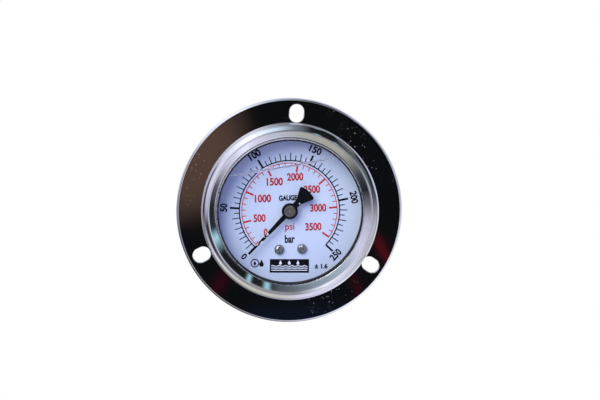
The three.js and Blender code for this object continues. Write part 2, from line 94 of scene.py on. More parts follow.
class Graph:
    def __init__(self, tree):
        self.tree = tree

    def add(self, kind, settings=None, values=None, output=0):
        node = self.tree.nodes.new(kind)
        for name, setting in (settings or {}).items():
            if name == "stops":
                ramp = node.color_ramp
                while len(ramp.elements) < len(setting):
                    ramp.elements.new(0.5)
                for element, (place, colour) in zip(ramp.elements, setting):
                    element.position, element.color = place, (*colour, 1)
            else:
                setattr(node, name, setting)
        for name, value in (values or {}).items():
            if isinstance(value, Wire):
                self.tree.links.new(value.socket, node.inputs[name])
            else:
                node.inputs[name].default_value = value
        return Wire(self, node.outputs[output])

    def place(self):
        return self.add("ShaderNodeTexCoord", output="Object")

    def parts(self, vector):
        return [self.add("ShaderNodeSeparateXYZ", values={0: vector}, output=i) for i in range(3)]

    def joined(self, x, y, z):
        return self.add("ShaderNodeCombineXYZ", values={0: x, 1: y, 2: z})

    def noise(self, vector, scale, detail=3.0, roughness=0.55):
        values = {"Vector": vector, "Scale": scale, "Detail": detail, "Roughness": roughness}
        return self.add("ShaderNodeTexNoise", values=values)

    def step(self, value, low, high):
        values = {"Value": value, "From Min": low, "From Max": high}
        return self.add("ShaderNodeMapRange", {"interpolation_type": "SMOOTHSTEP"}, values)

    def mix(self, factor, first, second):
        colours = [c if isinstance(c, Wire) else (*c, 1) for c in (first, second)]
        return self.add("ShaderNodeMix", {"data_type": "RGBA"}, {0: factor, 6: colours[0], 7: colours[1]}, 2)

    def bump(self, height, strength, distance=0.0001):
        return self.add("ShaderNodeBump", values={"Height": height, "Strength": strength, "Distance": distance})


def new_material(name, **sockets):
    """A Principled material with constant sockets, its graph and its shader node."""
    material = bpy.data.materials.new(name)
    material.use_nodes = True
    shader = material.node_tree.nodes["Principled BSDF"]
    for socket, value in sockets.items():
        shader.inputs[socket.replace("_", " ")].default_value = value
    return material, Graph(material.node_tree), shader


def feed(shader, **wires):
    for socket, wire in wires.items():
        wire.graph.tree.links.new(wire.socket, shader.inputs[socket.replace("_", " ")])


def tell(*materials):
    for material in materials:
        print(material.name, "nodes:", len(material.node_tree.nodes))


# %% [markdown]
# The flange is bright chrome on pressed steel. Chrome is almost a perfect mirror, so what sells it is what
# breaks the mirror: a slight waviness, hair scratches in every direction and a few specks of dust.

# %% Chrome
def chrome():
    material, g, shader = new_material("chrome_plate", Metallic=1.0, Roughness=0.03)
    place = g.place()
    scratches = None
    hair_shape = (40, 40, 1500)
    for turn in (0.4, 1.3, 2.5):
        turned = g.add("ShaderNodeMapping", values={0: place, 2: (0, turn, 0), 3: hair_shape})
        line = g.step(g.noise(turned, 1.0, 2.0), 0.69, 0.74)
        scratches = line if scratches is None else scratches + line
    patches = g.step(g.noise(place, 60.0), 0.48, 0.7)
    worn = scratches * patches
    swung = g.add("ShaderNodeMapping", values={0: place, 2: (0, 0.66, 0)})
    dusty_areas = g.step(g.noise(swung, 45.0, 2.0), 0.5, 0.62)
    dust = g.step(g.noise(place, 1900.0, 1.0), 0.72, 0.77) * dusty_areas
    cloud = g.noise(place, 130.0)
    colour = g.mix(dust, g.mix(cloud, (0.82, 0.83, 0.86), (0.88, 0.88, 0.9)), (0.75, 0.75, 0.78))
    height = g.noise(place, 22.0, 2.0) * 6.0 + worn * 0.06
    feed(shader, Base_Color=colour, Roughness=worn * 0.12 + cloud * 0.03 + dust * 0.4 + 0.02,
         Metallic=1 - dust * 0.9, Normal=g.bump(height, 0.35, 0.00002))
    return material


chrome_plate = chrome()
tell(chrome_plate)


# %% [markdown]
# Bezel and case are polished on a lathe, which leaves faint rings. A noise that reads only the radius and the
# depth, not the angle, is the same all the way round, so it draws exactly such rings. One function serves all
# the metals: what differs is the tint, how rough the metal is, how deep the rings are and how cloudy it is.

# %% Lathe-polished and plain metals
def turned_metal(name, dark, light, roughness, ring_bump, cloudiness=0.1):
    material, g, shader = new_material(name, Metallic=1.0)
    place = g.place()
    x, y, z = g.parts(place)
    radius, rings_per_metre = (x * x + z * z) ** 0.5, 9000.0
    rings = g.noise(g.joined(radius * rings_per_metre, y * rings_per_metre, 0.0), 1.0, 2.0)
    cloud = g.noise(place, 180.0, 4.0)
    spots = g.step(g.noise(place, 900.0, 2.0), 0.66, 0.74)
    feed(shader, Base_Color=g.mix(cloud * 0.8 + rings * 0.2, dark, light),
         Roughness=cloud * cloudiness + rings * cloudiness + spots * 0.08 + roughness,
         Normal=g.bump(rings, ring_bump, 0.00002))
    return material


polished_steel = turned_metal("polished_steel", (0.72, 0.73, 0.75), (0.86, 0.86, 0.88), 0.03, 0.06, 0.04)
plain_steel = turned_metal("plain_steel", (0.5, 0.51, 0.53), (0.72, 0.72, 0.74), 0.2, 0.3)
brass = turned_metal("brass", (0.62, 0.44, 0.18), (0.83, 0.64, 0.32), 0.2, 0.3, 0.16)
screw_steel = turned_metal("screw_steel", (0.3, 0.31, 0.33), (0.48, 0.49, 0.51), 0.18, 0.3)
bush_steel = turned_metal("bush_steel", (0.16, 0.14, 0.15), (0.26, 0.24, 0.25), 0.32, 0.3)
bronze = turned_metal("bronze", (0.5, 0.3, 0.14), (0.72, 0.47, 0.24), 0.26, 0.15, 0.18)
tell(polished_steel, plain_steel, screw_steel, bush_steel, brass, bronze)


# %% [markdown]
# The soft and the painted pieces: rubber is nearly black and matt with a fine moulded grain; the dial is white
# enamel with a cool cast; its inks are thin and a little rough. Under a liquid that bends light as much as ink
# does, ink loses its shine, so the inks' specular level is nearly nothing.

# %% Rubber, enamel and inks
def grained(name, dark, light, roughness, grain, grain_scale, **sockets):
    material, g, shader = new_material(name, **sockets)
    place = g.place()
    cloud = g.noise(place, 140.0, 4.0)
    fine = g.noise(place, grain_scale, 3.0)
    feed(shader, Base_Color=g.mix(cloud, dark, light), Roughness=fine * 0.12 + cloud * 0.1 + roughness,
         Normal=g.bump(fine, grain, 0.00003))
    return material


seal_rubber = grained("seal_rubber", (0.006, 0.006, 0.008), (0.018, 0.018, 0.02), 0.55, 0.5, 2600.0,
                      Specular_IOR_Level=0.25)
dial_enamel = grained("dial_enamel", (0.57, 0.645, 0.84), (0.63, 0.7, 0.89), 0.45, 0.1, 1800.0)
wet = {"Specular_IOR_Level": 0.03}
black_ink = grained("black_ink", (0.004, 0.004, 0.008), (0.01, 0.01, 0.016), 0.4, 0.2, 4000.0, **wet)
red_ink = grained("red_ink", (0.5, 0.025, 0.035), (0.62, 0.05, 0.06), 0.4, 0.2, 4000.0, **wet)
white_ink = grained("white_ink", (0.74, 0.8, 0.93), (0.8, 0.86, 0.97), 0.4, 0.2, 4000.0, **wet)
tell(seal_rubber, dial_enamel, black_ink, red_ink, white_ink)


# %% [markdown]
# The pointer is black paint on aluminium. Along the blade the paint is chipped, and the bare metal shows as
# small white flecks. The chips are a noise mask kept to that stretch of the blade. A painted highlight, a small
# white spot, sits on the neck of the fan. Shader lengths are in metres, because Object coordinates are.

# %% Pointer paint
def chipped_paint():
    material, g, shader = new_material("pointer_black", Specular_IOR_Level=0.05)
    place = g.place()
    x, y, z = g.parts(place)
    along_blade = (x + z) * -0.7071
    stretch = g.step(along_blade, 0.0098, 0.0112) * (1 - g.step(along_blade, 0.0172, 0.0185))
    chips_and_glint = g.step(g.noise(place, 620.0, 2.0), 0.56, 0.6) * stretch
    # Painted highlight: a small white spot on the fan's neck, painted in the chip colour, stands in for a glint
    # of light.
    glint_x, glint_z = 0.0037, 0.0028
    painted_glint = 1 - g.step(((x - glint_x) ** 2.0 + (z - glint_z) ** 2.0) ** 0.5, 0.0002, 0.00042)
    chips_and_glint = chips_and_glint + painted_glint * g.step(g.noise(place, 2500.0, 2.0), 0.4, 0.5)
    cloud = g.noise(place, 300.0)
    colour = g.mix(chips_and_glint, g.mix(cloud, (0.003, 0.003, 0.006), (0.008, 0.008, 0.012)), (0.75, 0.8, 0.9))
    feed(shader, Base_Color=colour, Roughness=cloud * 0.15 + 0.32, Normal=g.bump(chips_and_glint * -1.0, 0.5, 0.00005))
    return material


pointer_black = chipped_paint()
tell(pointer_black)


# %% [markdown]
# Window and liquid really refract, because the bent look of the print at the liquid's surface comes from
# that. Light for the dial would get lost in them, so both are left out of shadows and of diffuse bounces.

# %% Clear window and filling liquid
def clear(name, tint, ior):
    return new_material(name, Base_Color=(*tint, 1), Transmission_Weight=1.0, IOR=ior, Roughness=0.0)[0]


clear_window = clear("clear_window", (0.985, 0.99, 1.0), 1.49)
filling_liquid = clear("filling_liquid", (0.93, 0.965, 1.0), 1.47)
tell(clear_window, filling_liquid)


def let_light_through(piece):
    piece.visible_shadow = False
    piece.visible_diffuse = False


# %% [markdown]
# An operator acts on what is selected, so each step starts by selecting just the piece it is for. Cleaning
# merges points that land on each other, drops loose ones and makes all the faces look outwards.

# %% Selecting and cleaning
def mode(name):
    bpy.ops.object.mode_set(mode=name)


def only(*pieces):
    bpy.ops.object.select_all(action="DESELECT")
    for piece in pieces:
        piece.select_set(True)
    bpy.context.view_layer.objects.active = pieces[0]


def clean(piece, weld=0.002):
    only(piece)
    mode("EDIT")
    bpy.ops.mesh.select_all(action="SELECT")
    bpy.ops.mesh.remove_doubles(threshold=weld * mm)
    bpy.ops.mesh.select_all(action="SELECT")
    bpy.ops.mesh.delete_loose()
    bpy.ops.mesh.select_all(action="SELECT")
    bpy.ops.mesh.normals_make_consistent(inside=False)
    mode("OBJECT")
    return piece


# %% [markdown]
# Most of the gauge is turned on a lathe. The same idea works here: a circle's points are laid out as the
# section of the piece, on one side of the axis, and the spin tool sweeps them once round the Y axis.

# %% Turning
def outline(name, points, fill="NOTHING"):
    """A closed outline with one vertex for each point in mm."""
    bpy.ops.mesh.primitive_circle_add(vertices=len(points), radius=mm, fill_type=fill)
    piece = bpy.context.object
    piece.name = piece.data.name = name
    for corner, point in zip(piece.data.vertices, points):
        corner.co = [mm * value for value in point]
    return piece


def smooth(piece, angle=30):
    only(piece)
    bpy.ops.object.shade_smooth_by_angle(angle=radians(angle))
    return piece


def turn_on_lathe(name, profile, steps=128):
    """A closed section of (radius, depth) points in mm, swept round the Y axis."""
    piece = outline(name, [(radius, y, 0) for radius, y in profile])
    mode("EDIT")
    bpy.ops.mesh.select_all(action="SELECT")
    bpy.ops.mesh.spin(steps=steps, angle=2 * pi, center=(0, 0, 0), axis=(0, 1, 0), use_auto_merge=True)
    mode("OBJECT")
    return smooth(clean(piece))


# %% [markdown]
# Holes and slots are cut by a Boolean modifier with a tool that is removed afterwards. A tool is made at the
# origin and settled in its place, with the move in its mesh. At the end a piece gets its finish, the body that
# it moves with, and the names of the CAD nodes that it is shown instead of.

# %% Cutting, placing and finishing
def carve(piece, tool, operation="DIFFERENCE"):
    modifier = piece.modifiers.new("carve", "BOOLEAN")
    modifier.operation, modifier.solver, modifier.object = operation, "EXACT", tool
    only(piece)
    bpy.ops.object.modifier_apply(modifier="carve")
    bpy.data.objects.remove(tool)
    return piece


def settle(piece, x=0.0, y=0.0, z=0.0, turns=(0.0, 0.0, 0.0)):
    """Turns a piece by degrees and moves it by mm, all in its mesh."""
    piece.location = (x * mm, y * mm, z * mm)
    piece.rotation_euler = [radians(t) for t in turns]
    only(piece)
    bpy.ops.object.transform_apply(location=True, rotation=True, scale=True)
    return piece


def finish(piece, material, slot, *stands_for, body="root"):
    """Gives a piece its finish, its body and the CAD nodes that it stands for."""
    piece.data.materials.clear()
    piece.data.materials.append(material)
    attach(piece, body)
    if stands_for:
        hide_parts(*stands_for)
    print(piece.name, "faces:", len(piece.data.polygons))


# %% [markdown]
# The flange is one pressed ring. Its front edge is rounded over, and it has three slots along the radius.
# The slots are cut with a tool: a turned post with a flared mouth, pulled apart at its middle, so each rim
# comes out rounded. It is first turned by half a step, so that no column of its points is in the middle.

# %% Flange
fine_weld = 0.0005
flange_front, slot_circle, first_slot, half_slot, tool_steps = -1.5, 36.85, 84.6, 0.7, 48
half_step = 180 / tool_steps
rim = [(41.58, flange_front), (41.7, -1.48), (41.79, -1.42), (41.86, -1.32), (42.0, -1.08), (42.15, -0.8),
       (42.3, -0.5), (42.43, -0.24), (42.49, -0.12), (42.5, -0.05), (42.45, 0)]
section = [(31.3, flange_front), *rim, (31.3, 0)]
flange = turn_on_lathe("flange", section, 192)
for number in range(3):
    tool = turn_on_lathe("slot_tool", [
        (0, -3), (2.9, -3), (2.9, -1.52), (2.82, -1.49), (2.75, -1.43), (2.71, -1.36), (2.7, -1.25),
        (2.7, -0.14), (2.75, -0.04), (2.85, 0.02), (2.95, 1), (0, 1)], tool_steps)
    settle(tool, turns=(0, half_step, 0))
    for corner in tool.data.vertices:
        corner.co.x += half_slot * mm if corner.co.x > 0 else -half_slot * mm
    turn = first_slot + 120 * number
    settle(tool, slot_circle * cos(radians(turn)), 0, slot_circle * sin(radians(turn)), (0, -turn, 0))
    carve(flange, tool)
clean(flange, fine_weld)

# %% [markdown]
# The flat front face is inset by a hair. That keeps smooth shading in a narrow strip at its edges, so the
# middle of the face stays a flat mirror.

# %% Flange's front face
only(flange)
mode("EDIT")
bpy.ops.mesh.select_mode(type="FACE")
bpy.ops.mesh.select_all(action="DESELECT")
mesh = bmesh.from_edit_mesh(flange.data)
for face in mesh.faces:
    face.select = face.normal.y < -0.99999
bmesh.update_edit_mesh(flange.data)
bpy.ops.mesh.inset(thickness=0.04 * mm, depth=0, use_even_offset=False)
mode("OBJECT")
finish(smooth(flange, 35), chrome_plate, "chrome_plate", "flange_ring")

# %% [markdown]
# The bezel is rolled from one sheet. Outside it rounds over to a slope, meets a sharp crest, and falls
# inwards to the lip that holds the window. Both slopes bulge a little, so that reflections slide across them. A
# Bezier curve with one control point draws such a slope.

# %% Bezel
def bulge(start, control, end, steps):
    return [tuple((1 - t) ** 2 * a + 2 * t * (1 - t) * b + t * t * c for a, b, c in zip(start, control, end))
            for t in [i / steps for i in range(steps + 1)]]


outer = bulge((33.25, -4.0), (33.25, -5.47), (30.86, -7.86), 20)
crest = [(30.78, -7.92), (30.68, -7.97), (30.57, -8.0), (30.46, -7.985)]
slope = bulge((30.36, -7.94), (28.75, -6.95), (27.52, -5.62), 14)
lip = [(27.36, -5.4), (27.3, -5.22), (27.32, -5.05), (27.45, -4.92)]
lining = [(28.8, -5.25), (29.5, -6.5), *reversed(bulge((32.65, -4.0), (32.65, -5.3), (30.6, -7.35), 8))]
skirt = [(32.95, -1.6), (33.05, -2.2), (33.22, -3.0)]
bezel = turn_on_lathe("bezel", [*skirt, *outer, *crest, *slope, *lip, *lining, (32.4, -1.6)], 192)
finish(bezel, polished_steel, "polished_steel", "bezel_ring")

# %% [markdown]
# A black rubber gasket wraps the window's edge. Only its inner rim shows, as a thin dark line inside the lip. A
# second rubber ring keeps window and dial apart; its inner wall shows below, where the view looks down on it.

# %% Gasket
def merge(name, pieces):
    only(*pieces)
    bpy.ops.object.join()
    pieces[0].name = pieces[0].data.name = name
    return pieces[0]


ring = [(26.75, -4.83), (26.83, -4.87), (32.25, -4.87), (32.25, -2.45), (30.0, -2.45), (30.0, -2.7),
        (31.85, -2.7), (31.85, -4.53), (26.83, -4.53), (26.75, -4.57)]
spacer = [(27.15, -0.8), (27.25, -0.85), (28.9, -0.85), (28.9, 2.5), (27.25, 2.5), (27.15, 2.45)]
gasket = merge("gasket", [turn_on_lathe("gasket", ring, 160), turn_on_lathe("spacer", spacer, 160)])
finish(gasket, seal_rubber, "seal_rubber", "window_gasket")

# %% [markdown]
# The case is a deep-drawn cup. Its wall is 0.8 thick everywhere, it turns out into a lip at the front, and
# the back is rounded into the wall. Holes for the stem, the plug and two screws go through it. The plug's hole
# is cut by a post that is laid on its side and turned to the plug's place.

# %% Case
def arc(centre, radii, start, end, steps):
    """Points on an ellipse about a centre, from one angle to another in degrees."""
    angles = [radians(start + (end - start) * i / steps) for i in range(steps + 1)]
    return [(centre[0] + radii[0] * cos(a), centre[1] + radii[1] * sin(a)) for a in angles]


lip = [(30.2, -2.4), (32.1, -2.4), (32.2, -2.3), (32.2, -1.7), (32.1, -1.6), (31.15, -1.6), (31, -1.45)]
stem_hole = [(27.4, 26.8), (9.2, 26.8), (8.9, 26.5), (8.9, 26), (27.4, 26)]
outer_corner = arc((28, 23.8), (3, 3), 0, 90, 12)
inner_corner = arc((28, 23.8), (2.2, 2.2), 90, 0, 8)
case = turn_on_lathe("case", [*lip, *outer_corner, *stem_hole, *inner_corner], 160)
plug_turn, plug_depth, case_screw_x = 40, 14, 13.2


def to_plug(piece):
    """Lays a piece made along the Y axis on the case's side."""
    return settle(settle(piece, 0, plug_depth, 0, (90, 0, 0)), turns=(0, 90 - plug_turn, 0))


hole = turn_on_lathe("plug_hole", [(0, 28), (4.3, 28), (4.3, 33), (0, 33)], 48)
carve(case, to_plug(hole))
for side in (-1, 1):
    hole = turn_on_lathe("screw_hole", [(0, 25), (1.65, 25), (1.65, 28), (0, 28)], 32)
    carve(case, settle(hole, side * case_screw_x))
finish(smooth(clean(case, fine_weld)), polished_steel, "polished_steel", "case_cup")

# %% [markdown]
# The rubber plug in the case's side is where the gauge is filled, and it blows out if the tube bursts.
# It is a mushroom with a soft rim, a moulded ring on top and a neck that snaps into the hole.

# %% Fill plug
plug = turn_on_lathe("plug", [
    (0, 27.1), (2.6, 27.1), (3.2, 27.5), (4.35, 28.7), (4.5, 29.1), (4.4, 29.4), (4, 29.5), (4, 31.35),
    (5.85, 31.35), (6, 31.55), (6, 32.4), (5.9, 32.8), (5.6, 33.15), (5.1, 33.4), (4.6, 33.5), (4.4, 33.35),
    (3.4, 33.3), (3.2, 33.45), (1.6, 33.55), (1.3, 33.35), (0, 33.3)], 64)
finish(to_plug(plug), seal_rubber, "seal_rubber", "fill_plug")

# %% [markdown]
# The pan-head screws have a cross recess. The head is turned, then two bars that taper inwards and cross are
# taken out of it. Each screw is made at the origin, facing front. The dial's two stop at different turns of the
# recess, as real ones do. The pair at the back of the case is larger and is turned about to face the rear.

# %% Screws
def pan_head(name, head, shank, height, reach, recess_turn):
    dome = arc((0, height * 0.62), (head, height * 0.62), -68, 0, 10)
    screw = turn_on_lathe(name, [
        (0, 0), (head * 0.3, height * 0.01), *dome, (head, height * 0.9), (head * 0.96, height),
        (shank, height), (shank, height + reach), (0, height + reach)], 64)
    arm, half, clear_of_head = head * 0.64, head * 0.22, 0.2
    for turn in (0, 90):
        corners = ((-arm, -half), (arm, -half), (arm, half), (-arm, half))
        bar = outline("arm", [(x, -clear_of_head, z) for x, z in corners], "NGON")
        sunk = (0, (height * 0.8 + clear_of_head) * mm, 0)
        mode("EDIT")
        bpy.ops.mesh.select_all(action="SELECT")
        bpy.ops.mesh.extrude_region_move(TRANSFORM_OT_translate={"value": sunk})
        bpy.ops.transform.resize(value=(0.6, 1, 0.7))
        mode("OBJECT")
        clean(bar)
        carve(screw, settle(bar, turns=(0, turn + recess_turn, 0)))
    return smooth(clean(screw, fine_weld), 35)


dial_front, dial_screw_x, dial_screw_z, case_screw_end = 2.6, 4.3, -14.6, 28.85
for side, word in ((-1, "left"), (1, "right")):
    head = pan_head(f"dial_pan_screw_{word}", 1.85, 0.95, 1.2, 4.4, 20 + 25 * side)
    finish(settle(head, side * dial_screw_x, dial_front - 1.25, dial_screw_z), screw_steel, "plain_steel",
           f"dial_screw_{word}")
    rear = pan_head(f"case_pan_screw_{word}", 2.8, 1.45, 2.0, 5.8, 15)
    finish(settle(rear, side * case_screw_x, case_screw_end, 0, (180, 0, 0)), plain_steel, "plain_steel",
           f"case_screw_{word}")

# %% [markdown]
# The socket is machined from one brass bar: a collar through the case, a square for the spanner with chamfered
# corners, a thread and a spigot. The bar is turned first. The square's flats are then cut by four blocks, and
# its edges are bevelled, chosen by their place.

# %% Socket stem
def slab(name, points, front, back):
    """A flat outline in (x, z), extruded from front to back."""
    piece = outline(name, [(x, front, z) for x, z in points], "NGON")
    mode("EDIT")
    bpy.ops.mesh.select_all(action="SELECT")
    bpy.ops.mesh.extrude_region_move(TRANSFORM_OT_translate={"value": (0, (back - front) * mm, 0)})
    mode("OBJECT")
    return clean(piece)


def ease_edges(piece, width, chosen):
    """Bevels the edges whose two ends satisfy chosen(x, y, z), with the ends in mm."""
    only(piece)
    mode("EDIT")
    bpy.ops.mesh.select_mode(type="EDGE")
    bpy.ops.mesh.select_all(action="DESELECT")
    mesh = bmesh.from_edit_mesh(piece.data)
    for edge in mesh.edges:
        ends = all(chosen(*(value / mm for value in corner.co)) for corner in edge.verts)
        if ends and edge.calc_face_angle(0) > 0.5:
            edge.select = True
    count = sum(edge.select for edge in mesh.edges)
    bmesh.update_edit_mesh(piece.data)
    bpy.ops.mesh.bevel(offset=width * mm, segments=2, affect="EDGES")
    mode("OBJECT")
    print(piece.name, "edges eased:", count)
    return piece


collar_start = 25.3
stem = turn_on_lathe("stem", [
    (0, collar_start), (8.5, collar_start), (8.5, 27.9), (9.1, 28.0), (9.1, 36.2), (8.2, 37), (5.4, 37),
    (5.4, 38.2), (5.72, 38.5), (5.72, 49.6), (5.3, 50), (2.75, 50), (2.75, 51.75), (2.5, 52), (1.7, 52),
    (1.7, 49), (0, 49)], 96)
for turn in range(4):
    cheek = slab("cheek", [(7, -12), (14, -12), (14, 12), (7, 12)], 27.95, 37.2)
    carve(stem, settle(cheek, turns=(0, 90 * turn, 0)))
clean(stem, fine_weld)
ease_edges(stem, 0.18, lambda x, y, z: 28 < y < 37 and max(abs(x), abs(z)) < 7.001)

# %% [markdown]
# The thread is a real helix: a ridge with a trapezoid section, wound round the core by a Screw modifier. Its
# two open ends are filled, which closes it.

# %% Thread
pitch, ridge_turns, thread_start = 1.337, 7.75, 39
ridge = outline("ridge", [(5.6, -0.6, 0), (5.72, -0.55, 0), (6.5, -0.09, 0), (6.57, 0, 0), (6.5, 0.09, 0),
                          (5.72, 0.55, 0), (5.6, 0.6, 0)])
winding = ridge.modifiers.new("winding", "SCREW")
winding.axis, winding.angle = "Y", radians(360 * ridge_turns)
winding.screw_offset = pitch * ridge_turns * mm
winding.steps = winding.render_steps = int(48 * ridge_turns)
only(ridge)
bpy.ops.object.modifier_apply(modifier="winding")
mode("EDIT")
bpy.ops.mesh.select_all(action="SELECT")
bpy.ops.mesh.fill_holes(sides=0)
mode("OBJECT")
clean(settle(ridge, 0, thread_start, 0), fine_weld)
thread_end = max(corner.co.y for corner in ridge.data.vertices) / mm
print("thread ends at", round(thread_end, 2))

# %% [markdown]
# Inside the case the block keeps its CAD shape. It is a copy of the node, cleaned first, because a CAD mesh is
# loose triangles, and cut off where the turned bar takes over.

# %% Inner block
def twin(piece, name):
    """A copy of a piece with its own mesh."""
    other = piece.copy()
    other.data = piece.data.copy()
    other.name = other.data.name = name
    bpy.context.scene.collection.objects.link(other)
    return other


inner = twin(frame["nodes"]["socket_stem"], "inner_block")
inner.parent = None
inner.modifiers.clear()
clean(inner, 0.001)
saw = slab("saw", [(-30, -30), (30, -30), (30, 30), (-30, 30)], collar_start, 60)
carve(inner, saw)
socket = merge("socket", [stem, smooth(ridge), smooth(inner)])
finish(socket, brass, "brass", "socket_stem")

# %% [markdown]
# The Bourdon tube is a flattened tube wound in a helix. Its section is an ellipse, and a Screw modifier winds
# it. One end is fast in the socket and the other moves; here the coil is given no body.

# %% Bourdon tube
coil_sweep, coil_rise, coil_back, coil_radius, coil_turn = 860, 10.033, 23.2, 21, 94
coil = outline("coil", [(x, y, 0) for x, y in arc((coil_radius, 0), (1.1, 1.6), 0, 342, 19)])
winding = coil.modifiers.new("winding", "SCREW")
winding.axis, winding.angle, winding.screw_offset = "Y", radians(coil_sweep), -coil_rise * mm
winding.steps = winding.render_steps = 220
only(coil)
bpy.ops.object.modifier_apply(modifier="winding")
mode("EDIT")
bpy.ops.mesh.select_all(action="SELECT")
bpy.ops.mesh.fill_holes(sides=0)
mode("OBJECT")
smooth(clean(settle(coil, 0, coil_back, 0, (0, coil_turn, 0)), fine_weld))
coil.data.materials.append(bronze)
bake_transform(coil)
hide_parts("bourdon_tube")
print("coil faces:", len(coil.data.polygons))

# %% [markdown]
# The dial is a thin enamelled plate. It is turned as a disc with a hole for the staff, and its rim is eased.

# %% Dial plate
plate = turn_on_lathe("dial_plate", [
    (2.2, dial_front), (27.6, dial_front), (27.7, 2.68), (27.7, 2.94), (27.6, 3), (2.2, 3)])
finish(plate, dial_enamel, "dial_print", "dial")


# %% [markdown]
# The print is real geometry, a hair proud of the enamel, as screen ink is. Strokes are one plane, copied and
# turned to their places; rings and waves are a grid whose points are laid along a curve; letters are text
# turned into mesh and fitted to a width and a height. All of one colour become one piece.

# %% Printing helpers
ink_front, ink_depth = 2.57, 0.04


def stroke(start, end, width, angle):
    """A flat bar along the radius, from start to end, at an angle anticlockwise from the right."""
    bar = twin(stroke_pattern, "stroke")
    turned = Matrix.Rotation(-radians(angle), 4, "Y")
    sized = Matrix.Diagonal(((end - start) * mm, 1, width * mm, 1))
    shift = Matrix.Translation(((start + end) / 2 * mm, 0, 0))
    bar.data.transform(turned @ shift @ sized)
    return bar


def laid_grid(name, cells, place):
    """A grid whose points go where place(along, across) says, in mm; both run from 0 to 1."""
    bpy.ops.mesh.primitive_grid_add(x_subdivisions=cells[0], y_subdivisions=cells[1], size=1)
    piece = bpy.context.object
    piece.name = piece.data.name = name
    for corner in piece.data.vertices:
        along, across = corner.co.x + 0.5, corner.co.y + 0.5
        corner.co = [mm * value for value in place(along, across)]
    return piece


def ink_ring(radius, width, start, end):
    def place(along, across):
        a, r = radians(start + (end - start) * along), radius + width * (across - 0.5)
        return r * cos(a), ink_front, r * sin(a)
    return laid_grid("ring", (180, 1), place)


def letters(words, centre, size, turn=0.0, bold=0.036):
    """Flat lettering of a given width and height; bold widens every line of it."""
    bpy.ops.object.text_add()
    text = bpy.context.object
    text.data.body, text.data.offset, text.data.resolution_u = words, bold, 4
    only(text)
    bpy.ops.object.convert(target="MESH")
    bpy.ops.object.origin_set(type="ORIGIN_GEOMETRY", center="BOUNDS")
    bpy.context.view_layer.update()
    text.scale = (size[0] * mm / text.dimensions.x, size[1] * mm / text.dimensions.y, 1)
    text.location = (centre[0] * mm, ink_front * mm, centre[1] * mm)
    text.rotation_euler = (pi / 2, -radians(turn), 0)
    only(text)
    bpy.ops.object.transform_apply(location=True, rotation=True, scale=True)
    return text


def print_ink(name, marks, material, front_step=0.0):
    """Joins flat marks and gives them a thickness backwards, whichever way their faces look."""
    ink = merge(name, marks)
    ink.data.transform(Matrix.Translation((0, -front_step * mm, 0)))
    mode("EDIT")
    bpy.ops.mesh.select_all(action="SELECT")
    bpy.ops.mesh.remove_doubles(threshold=fine_weld * mm)
    mode("OBJECT")
    facing = sum(face.normal.y * face.area for face in ink.data.polygons)
    body = ink.modifiers.new("body", "SOLIDIFY")
    body.thickness, body.offset = ink_depth * mm, -1 if facing < 0 else 1
    only(ink)
    bpy.ops.object.modifier_apply(modifier="body")
    finish(ink, material, "dial_print")


bpy.ops.mesh.primitive_plane_add(size=1, rotation=(pi / 2, 0, 0))
stroke_pattern = bpy.context.object
bpy.ops.object.transform_apply(location=True, rotation=True, scale=True)
stroke_pattern.data.transform(Matrix.Translation((0, ink_front * mm, 0)))

# %% [markdown]
# The outer scale is in bar and black, from 0 at the lower left to 250 at the lower right. There are 49 equal
# divisions, because the first two are drawn as one. The inner scale is in psi and red. Long strokes mark the
# places of the numbers.

# %% Scales
zero_angle, division = 225.0, 270 / 49


def bar_angle(bar):
    return zero_angle - division * (bar / 5 - 1) if bar > 5 else zero_angle


black, red, white = [ink_ring(18.9, 0.46, zero_angle, -45)], [], []
for number in range(50):
    bar = 5 * (number + 1) if number else 0
    if bar % 50 == 0:
        start, end, width = 19.0, 22.5, 0.76
    else:
        start, end, width = 19.1, 21.8 if bar % 10 == 0 else 20.9, 0.36
    black.append(stroke(start, end, width, zero_angle - division * number))
psi_per_bar = 14.5038
for psi in range(100, 3501, 100):
    major = psi % 500 == 0
    start, end, width = (14.85, 18.05, 0.7) if major else (16.5, 18.05, 0.32)
    red.append(stroke(start, end, width, bar_angle(psi / psi_per_bar)))
red.append(ink_ring(17.95, 0.3, zero_angle, bar_angle(3500 / psi_per_bar)))
print("marks:", len(black), "black,", len(red), "red")

# %% [markdown]
# The numbers in bar stand round the outside of the scale, each turned to face the middle. Those in psi stand
# upright inside it. Every number is fitted to a width for each of its digits, so all digits look alike.

# %% Numbers
number_circle, bar_digit, psi_digit = 24.8, (1.57, 2.75), (1.53, 3.0)
for bar in (50, 100, 150, 200):
    angle = bar_angle(bar)
    place = (number_circle * cos(radians(angle)), number_circle * sin(radians(angle)))
    black.append(letters(str(bar), place, (bar_digit[0] * len(str(bar)), bar_digit[1]), angle - 90))
black += [letters("250", (17.0, -17.3), (4.6, 2.75), 45), letters("0", (-17.6, -16.8), (1.6, 2.6), 135)]
psi_places = {500: (-11.4, -2.4), 1000: (-9.9, 5.0), 1500: (-5.3, 11.2), 2000: (2.4, 12.8), 2500: (8.6, 7.9),
              3000: (10.8, 0.8), 3500: (8.8, -6.3), 0: (-9.2, -7.9)}
for psi, place in psi_places.items():
    red.append(letters(str(psi), place, (psi_digit[0] * len(str(psi)), psi_digit[1])))
print("marks with numbers:", len(black), "black,", len(red), "red")

# %% [markdown]
# Besides the scales a dial carries its units, a word for what it is, and the maker's own marks. The marks are
# neutral ones here: a drop in a ring, a larger drop, an accuracy, and a dark panel with waves and drops.

# %% Units and neutral marks
black += [letters("bar", (-0.2, -10.7), (3.8, 3.1)), letters("GAUGE", (-0.5, 4.9), (6.9, 2.1), bold=0.05)]
red.append(letters("psi", (-0.1, -6.4), (3.5, 3.4), bold=0.015))
lower_black = [letters("± 1.6", (12.2, -21.3), (4.9, 1.9), bold=0.045)]


